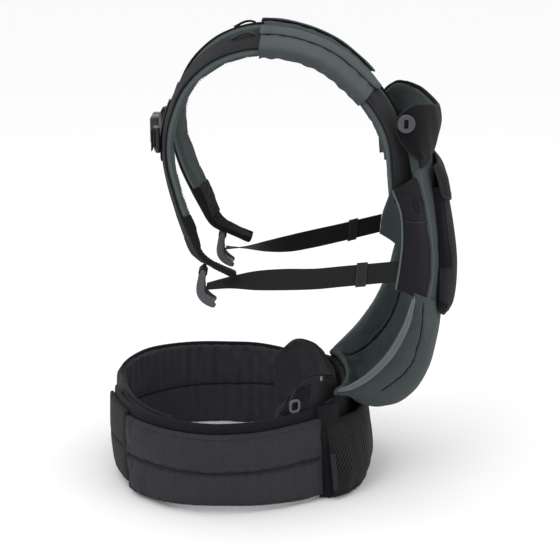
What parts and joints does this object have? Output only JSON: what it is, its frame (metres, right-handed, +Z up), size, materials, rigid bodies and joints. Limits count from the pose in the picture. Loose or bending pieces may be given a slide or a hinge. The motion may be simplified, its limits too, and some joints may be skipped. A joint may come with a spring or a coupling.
{
  "type": "baby carrier backpack",
  "caption": "Soft front baby carrier: padded waist belt, seat bucket with front pocket, folding head support and padded shoulder straps joined by a sliding back strap.",
  "frame": {"origin": "centre of the bounding box at the floor the belt stands on", "axes": "+X forward from the wearer, +Y to the wearer's left, +Z up"},
  "size_m": [0.4306, 0.3258, 0.5644],
  "materials": {
    "charcoal_fabric": "fine ripstop weave",
    "black_fabric": "matt woven",
    "green_fabric": "brushed woven",
    "mesh_fabric": "stretch mesh",
    "pile_fabric": "hook and loop pile",
    "black_webbing": "ribbed webbing",
    "grey_plastic": "satin",
    "black_plastic": "satin",
    "label_fabric": "woven label, blank"
  },
  "bodies": {
    "carrier": {"back_rail_left": "black_webbing", "back_rail_right": "black_webbing", "belly_pad": "black_fabric", "belt_adjuster_ring": "grey_plastic", "belt_adjuster_webbing": "black_webbing", "belt_front": "black_fabric", "belt_pocket": "mesh_fabric", "belt_pocket_hem": "mesh_fabric", "belt_tag": "label_fabric", "body_panel": "green_fabric", "front_pocket": "black_fabric", "leg_edge_left": "green_fabric", "leg_edge_right": "green_fabric", "lock_loop_left": "black_webbing", "lock_loop_right": "black_webbing", "pocket_elastic_left": "black_fabric", "pocket_elastic_right": "black_fabric", "seat_bucket": "green_fabric", "side_panel_left": "black_fabric", "side_panel_right": "black_fabric", "side_webbing_left": "black_webbing", "side_webbing_right": "black_webbing", "sleeve_flap_left": "green_fabric", "sleeve_flap_right": "green_fabric", "strap_end_left": "pile_fabric", "strap_end_right": "pile_fabric", "strap_face_left": "black_fabric", "strap_face_right": "black_fabric", "strap_lining_left": "green_fabric", "strap_lining_right": "green_fabric", "strap_loop_left": "black_webbing", "strap_loop_right": "black_webbing", "strap_sleeve_left": "green_fabric", "strap_sleeve_right": "green_fabric"},
    "wing_right": {"belt_wing_right": "charcoal_fabric", "belt_cover_right": "charcoal_fabric", "belt_loop_tape_right": "pile_fabric"},
    "wing_left": {"belt_wing_left": "charcoal_fabric", "belt_hook_patch": "pile_fabric"},
    "head_rest": {"head_support": "black_fabric", "head_support_lining": "green_fabric", "head_button_right": "grey_plastic", "head_button_left": "grey_plastic"},
    "flap": {"pocket_flap": "black_fabric"},
    "lock_right": {"ladder_lock_right": "grey_plastic", "webbing_turn_right": "black_webbing"},
    "lock_left": {"ladder_lock_left": "grey_plastic", "webbing_turn_left": "black_webbing"},
    "keeper_right": {"webbing_keeper_right": "black_webbing"},
    "keeper_left": {"webbing_keeper_left": "black_webbing"},
    "back_strap": {"back_slider_right": "black_plastic", "back_slider_left": "black_plastic", "back_webbing_right": "black_webbing", "back_webbing_left": "black_webbing", "back_buckle_female": "black_plastic"},
    "back_clip": {"back_buckle_male": "black_plastic"}
  },
  "joints": [
    {"name": "belt_wing_right_open", "type": "hinge", "parent": "carrier", "child": "wing_right", "pos_m": [0.053, -0.106, 0.055], "axis": [0, 0, 1], "range_deg": [0, 36]},
    {"name": "belt_wing_left_open", "type": "hinge", "parent": "carrier", "child": "wing_left", "pos_m": [0.053, 0.106, 0.055], "axis": [0, 0, -1], "range_deg": [0, 18]},
    {"name": "head_support_fold", "type": "hinge", "parent": "carrier", "child": "head_rest", "pos_m": [0.186, 0, 0.414], "axis": [0, -1, 0], "range_deg": [-110, 0]},
    {"name": "pocket_flap_open", "type": "hinge", "parent": "carrier", "child": "flap", "pos_m": [0.187, 0, 0.409], "axis": [0, -1, 0], "range_deg": [0, 80]},
    {"name": "ladder_lock_right_tilt", "type": "hinge", "parent": "carrier", "child": "lock_right", "pos_m": [-0.0907, -0.096, 0.2813], "axis": [0, 1, 0], "range_deg": [0, 25]},
    {"name": "ladder_lock_left_tilt", "type": "hinge", "parent": "carrier", "child": "lock_left", "pos_m": [-0.0747, 0.096, 0.2813], "axis": [0, 1, 0], "range_deg": [0, 25]},
    {"name": "webbing_keeper_right_slide", "type": "slide", "parent": "carrier", "child": "keeper_right", "axis": [0.979, -0.152, 0.136], "range_m": [-0.012, 0.012]},
    {"name": "webbing_keeper_left_slide", "type": "slide", "parent": "carrier", "child": "keeper_left", "axis": [0.965, 0.172, 0.198], "range_m": [-0.012, 0.012]},
    {"name": "back_strap_height", "type": "slide", "parent": "carrier", "child": "back_strap", "axis": [0, 0, 1], "range_m": [-0.012, 0.012]},
    {"name": "back_clip_release", "type": "slide", "parent": "back_strap", "child": "back_clip", "axis": [0, 1, 0], "range_m": [0, 0.022]}
  ],
  "couplings": [
    {"joint": "belt_wing_left_open", "follows": "belt_wing_right_open", "ratio": 0.5}
  ]
}
